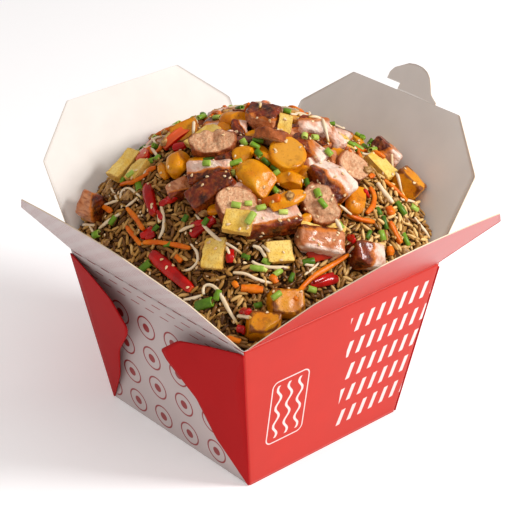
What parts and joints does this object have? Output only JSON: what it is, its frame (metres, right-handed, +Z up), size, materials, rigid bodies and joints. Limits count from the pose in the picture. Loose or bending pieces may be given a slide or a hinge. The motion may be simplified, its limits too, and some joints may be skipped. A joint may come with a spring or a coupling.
{
  "type": "fried rice takeaway box",
  "caption": "Open folded board carton heaped with fried rice and toppings, with four hinged lid flaps and a locking tab.",
  "frame": {"origin": "middle of the underside of the base, on the surface the carton stands on", "axes": "+Z up; -Y is the plain red front panel; -X is the patterned side panel with the folded corner gussets; the locking tab is on the flap at +X"},
  "size_m": [0.2595, 0.2566, 0.1854],
  "materials": {
    "printed_board": "satin",
    "white_board": "satin",
    "rice": "satin",
    "pork": "gloss",
    "sausage": "satin",
    "plantain": "gloss",
    "egg": "satin",
    "pepper": "gloss"
  },
  "bodies": {
    "box": {"carton": "printed_board", "pork_01": "pork", "pork_02": "pork", "pork_03": "pork", "pork_04": "pork", "pork_05": "pork", "pork_06": "pork", "pork_07": "pork", "pork_08": "pork", "pork_09": "pork", "pork_10": "pork", "pork_11": "pork", "pork_12": "pork", "pork_13": "pork", "sausage_01": "sausage", "sausage_02": "sausage", "sausage_03": "sausage", "sausage_04": "sausage", "sausage_05": "sausage", "plantain_01": "plantain", "plantain_02": "plantain", "plantain_03": "plantain", "plantain_04": "plantain", "plantain_05": "plantain", "plantain_06": "plantain", "plantain_07": "plantain", "plantain_08": "plantain", "plantain_09": "plantain", "plantain_10": "plantain", "plantain_11": "plantain", "plantain_12": "plantain", "plantain_13": "plantain", "plantain_14": "plantain", "egg_01": "egg", "egg_02": "egg", "egg_03": "egg", "egg_04": "egg", "egg_05": "egg", "egg_06": "egg", "egg_07": "egg", "egg_08": "egg", "egg_09": "egg", "egg_10": "egg", "pepper_01": "pepper", "pepper_02": "pepper", "pepper_03": "pepper", "pepper_04": "pepper", "pepper_05": "pepper", "pepper_06": "pepper", "pepper_07": "pepper", "pepper_08": "pepper", "pepper_09": "pepper", "rice": "rice"},
    "front_flap": {"flap_front": "white_board"},
    "back_flap": {"flap_back": "white_board"},
    "left_flap": {"flap_left": "white_board"},
    "right_flap": {"flap_right": "white_board"},
    "tab": {"hook_tab": "white_board"}
  },
  "joints": [
    {"name": "front_crease", "type": "hinge", "parent": "box", "child": "front_flap", "pos_m": [0, -0.0775, 0.1024], "axis": [1, 0, 0], "range_deg": [-43.9, 100]},
    {"name": "back_crease", "type": "hinge", "parent": "box", "child": "back_flap", "pos_m": [0, 0.0775, 0.1024], "axis": [-1, 0, 0], "range_deg": [0, 115]},
    {"name": "left_crease", "type": "hinge", "parent": "box", "child": "left_flap", "pos_m": [-0.075, 0, 0.1024], "axis": [0, -1, 0], "range_deg": [-40.2, 95]},
    {"name": "right_crease", "type": "hinge", "parent": "box", "child": "right_flap", "pos_m": [0.075, 0, 0.1024], "axis": [0, 1, 0], "range_deg": [0, 100]},
    {"name": "tab_crease", "type": "hinge", "parent": "right_flap", "child": "tab", "pos_m": [0.12161, 0, 0.17047], "axis": [0, -1, 0], "range_deg": [-30, 90]}
  ]
}
